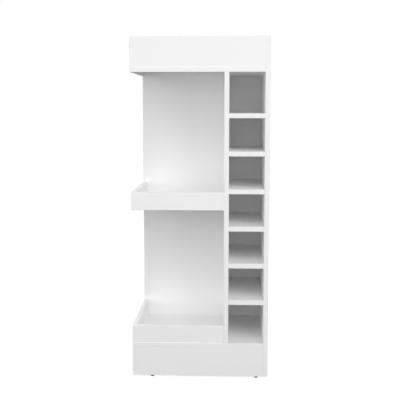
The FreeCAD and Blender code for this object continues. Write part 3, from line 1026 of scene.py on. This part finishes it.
class CABINET_OT_cam_locks(bpy.types.Operator):
    """Cams and bolts that hold the middle tray's shelf"""

    bl_idname = "cabinet.cam_locks"
    bl_label = "Cam Locks"

    def execute(self, context):
        fittings = context.scene.cabinet_fittings
        zinc = made_once("zinc_plate", make_zinc, fittings)
        node = "mid_tray_cam_bolts"
        bolts = long_places(node)
        head, _, reach = bolts[0]
        bolt = bolt_mesh(fittings, reach, *end_radii(node))
        add_copies(bolt, pointed_all(bolts), node, zinc)

        cast = made_once("dull_cast_zinc", make_cast, fittings)
        node = "mid_tray_cams"
        cams = upright_places(node)
        upward = SIDES["top"]
        matrices = []
        for foot, _ in cams:
            _, direction, _ = min(bolts, key=lambda place: (place[0] - foot).length)
            turn = Matrix((-direction, upward.cross(-direction), upward)).transposed().to_4x4()
            matrices.append(Matrix.Translation(foot) @ turn)
        foot, span = cams[-1]
        cam = cam_mesh(fittings, span.x / 2, span.z, head.z - foot.z)
        add_copies(cam, matrices, node, cast)
        return {"FINISHED"}


class CABINET_OT_glides(bpy.types.Operator):
    """Nail-on glides under the cabinet"""

    bl_idname = "cabinet.glides"
    bl_label = "Glides"

    def execute(self, context):
        fittings = context.scene.cabinet_fittings
        plastic = made_once("glide_plastic", make_glide_plastic, fittings)
        pads = upright_places("glide_pads")
        nails = upright_places("glide_nails")
        _, pad_span = pads[-1]
        nail_foot, nail_span = nails[0]
        radius, height = pad_span.x / 2, pad_span.z
        soft, lip = fittings.sole_soft, fittings.glide_lip
        form = lathe([
            (0, 0),
            (radius - soft, 0),
            (radius, soft),
            (radius, height - 2 * lip),
            (radius - lip, height - lip),
            (radius - lip, height),
            (fittings.nail, height),
            (fittings.nail, nail_foot.z),
            (0, nail_foot.z),
        ])
        matrices = [Matrix.Translation(foot) for foot, _ in pads]
        add_copies(round_mesh(form, "glide"), matrices, "glide_pads", plastic)

        zinc = made_once("zinc_plate", make_zinc, fittings)
        form = lathe([
            (0, 0),
            (fittings.nail, 0),
            (fittings.nail, nail_span.z - fittings.nail_point),
            (0, nail_span.z),
        ], BORE_STEPS)
        matrices = [Matrix.Translation(foot) for foot, _ in nails]
        add_copies(round_mesh(form, "nail"), matrices, "glide_nails", zinc)
        return {"FINISHED"}


def camera_sees(tree):
    """Light path factor that is one for camera, glossy and transmission rays."""
    path = tree.nodes.new("ShaderNodeLightPath")
    seen = path.outputs["Is Camera Ray"]
    for ray in ("Is Glossy Ray", "Is Transmission Ray"):
        either = tree.nodes.new("ShaderNodeMath")
        either.operation = "MAXIMUM"
        tree.links.new(seen, either.inputs[0])
        tree.links.new(path.outputs[ray], either.inputs[1])
        seen = either.outputs["Value"]
    return seen


def floor_material(settings):
    """Pale floor that keeps a shadow, looks white to the camera and throws little light back up."""
    material = bpy.data.materials.new("pale_floor")
    material.use_nodes = True
    tree = material.node_tree
    tree.nodes.clear()
    seen = camera_sees(tree)
    lit = tree.nodes.new("ShaderNodeBsdfDiffuse")
    lit.inputs["Color"].default_value = (*settings.floor, 1)
    glow = tree.nodes.new("ShaderNodeEmission")
    glow.inputs["Strength"].default_value = settings.floor_glow
    pale = tree.nodes.new("ShaderNodeAddShader")
    tree.links.new(lit.outputs["BSDF"], pale.inputs[0])
    tree.links.new(glow.outputs["Emission"], pale.inputs[1])
    dull = tree.nodes.new("ShaderNodeBsdfDiffuse")
    dull.inputs["Color"].default_value = (*settings.floor_bounce, 1)
    chosen = tree.nodes.new("ShaderNodeMixShader")
    tree.links.new(seen, chosen.inputs["Fac"])
    tree.links.new(dull.outputs["BSDF"], chosen.inputs[UNSEEN])
    tree.links.new(pale.outputs["Shader"], chosen.inputs[SEEN])
    output = tree.nodes.new("ShaderNodeOutputMaterial")
    tree.links.new(chosen.outputs["Shader"], output.inputs["Surface"])
    return material


def studio_world(settings):
    """Even light from all round, white where the camera sees it."""
    world = bpy.data.worlds.new("studio")
    world.use_nodes = True
    tree = world.node_tree
    tree.nodes.clear()
    ambient = tree.nodes.new("ShaderNodeBackground")
    ambient.inputs["Strength"].default_value = settings.ambient
    white = tree.nodes.new("ShaderNodeBackground")
    for background in (ambient, white):
        background.inputs["Color"].default_value = (1, 1, 1, 1)
    chosen = tree.nodes.new("ShaderNodeMixShader")
    tree.links.new(camera_sees(tree), chosen.inputs["Fac"])
    tree.links.new(ambient.outputs["Background"], chosen.inputs[UNSEEN])
    tree.links.new(white.outputs["Background"], chosen.inputs[SEEN])
    output = tree.nodes.new("ShaderNodeOutputWorld")
    tree.links.new(chosen.outputs["Shader"], output.inputs["Surface"])
    return world


def add_lamp(name, stand, watts, height, settings):
    """Wide lamp that looks at the cabinet."""
    light = bpy.data.lights.new(name, "AREA")
    light.shape = "RECTANGLE"
    light.size = settings.lamp_size
    light.size_y = height
    light.energy = watts
    lamp = bpy.data.objects.new(name, light)
    lamp.location = stand
    look = Vector(settings.lamp_aim) - Vector(stand)
    lamp.rotation_euler = look.to_track_quat("-Z", "Y").to_euler()
    lamp.visible_camera = False
    bpy.context.scene.collection.objects.link(lamp)


class CABINET_OT_stage(bpy.types.Operator):
    """Pale floor, soft lamps and the camera"""

    bl_idname = "cabinet.stage"
    bl_label = "Stage"

    def execute(self, context):
        scene = context.scene
        settings = scene.cabinet_stage
        form = bmesh.new()
        bmesh.ops.create_grid(form, x_segments=1, y_segments=1, size=settings.floor_size)
        floor = bpy.data.objects.new("floor", as_mesh(form, "floor"))
        floor.data.materials.append(floor_material(settings))
        scene.collection.objects.link(floor)
        scene.world = studio_world(settings)
        scene.view_settings.view_transform = "Standard"
        scene.cycles.diffuse_bounces = WHITE_BOUNCES

        square = settings.lamp_size
        add_lamp("upper_lamp", settings.upper_place, settings.upper_power, square, settings)
        add_lamp("side_lamp", settings.side_place, settings.side_power, square, settings)
        add_lamp("front_lamp", settings.front_place, settings.front_power, square, settings)
        add_lamp("left_lamp", settings.left_place, settings.left_power, square, settings)
        add_lamp("right_lamp", settings.right_place, settings.right_power, settings.strip_height, settings)
        add_lamp("rear_lamp", settings.rear_place, settings.rear_power, square, settings)

        camera = bpy.data.objects.new("camera", bpy.data.cameras.new("camera"))
        camera.location = settings.camera_place
        camera.rotation_euler = settings.camera_turn
        camera.data.lens = settings.camera_lens
        scene.collection.objects.link(camera)
        scene.camera = camera
        return {"FINISHED"}


GROUPS = {
    "cabinet_boards": CABINET_PG_boards,
    "cabinet_fittings": CABINET_PG_fittings,
    "cabinet_stage": CABINET_PG_stage,
}
OPERATORS = (
    CABINET_OT_upright_panels,
    CABINET_OT_level_panels,
    CABINET_OT_niche_shelves,
    CABINET_OT_trays,
    CABINET_OT_plinth_and_fascia,
    CABINET_OT_screws,
    CABINET_OT_screw_caps,
    CABINET_OT_dowels,
    CABINET_OT_cam_locks,
    CABINET_OT_glides,
    CABINET_OT_stage,
)


class CABINET_PT_pieces(bpy.types.Panel):
    """Pieces of the cabinet and its stage"""

    bl_idname = "CABINET_PT_pieces"
    bl_label = "Corner Bar Cabinet"
    bl_space_type = "VIEW_3D"
    bl_region_type = "UI"
    bl_category = "Cabinet"

    def draw(self, context):
        for operator in OPERATORS:
            self.layout.operator(operator.bl_idname)
        for name, group in GROUPS.items():
            box = self.layout.box()
            for setting in group.__annotations__:
                box.prop(getattr(context.scene, name), setting)


def register():
    """Make the settings, operators and panel known."""
    for cls in (*GROUPS.values(), *OPERATORS, CABINET_PT_pieces):
        bpy.utils.register_class(cls)
    for name, group in GROUPS.items():
        setattr(bpy.types.Scene, name, PointerProperty(type=group))


def unregister():
    """Take back what register made known."""
    for name in GROUPS:
        delattr(bpy.types.Scene, name)
    for cls in reversed((*GROUPS.values(), *OPERATORS, CABINET_PT_pieces)):
        bpy.utils.unregister_class(cls)


def main():
    """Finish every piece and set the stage."""
    register()
    bpy.ops.cabinet.upright_panels()
    bpy.ops.cabinet.level_panels()
    bpy.ops.cabinet.niche_shelves()
    bpy.ops.cabinet.trays()
    bpy.ops.cabinet.plinth_and_fascia()
    bpy.ops.cabinet.screws()
    bpy.ops.cabinet.screw_caps()
    bpy.ops.cabinet.dowels()
    bpy.ops.cabinet.cam_locks()
    bpy.ops.cabinet.glides()
    bpy.ops.cabinet.stage()


if __name__ == "__main__":
    main()
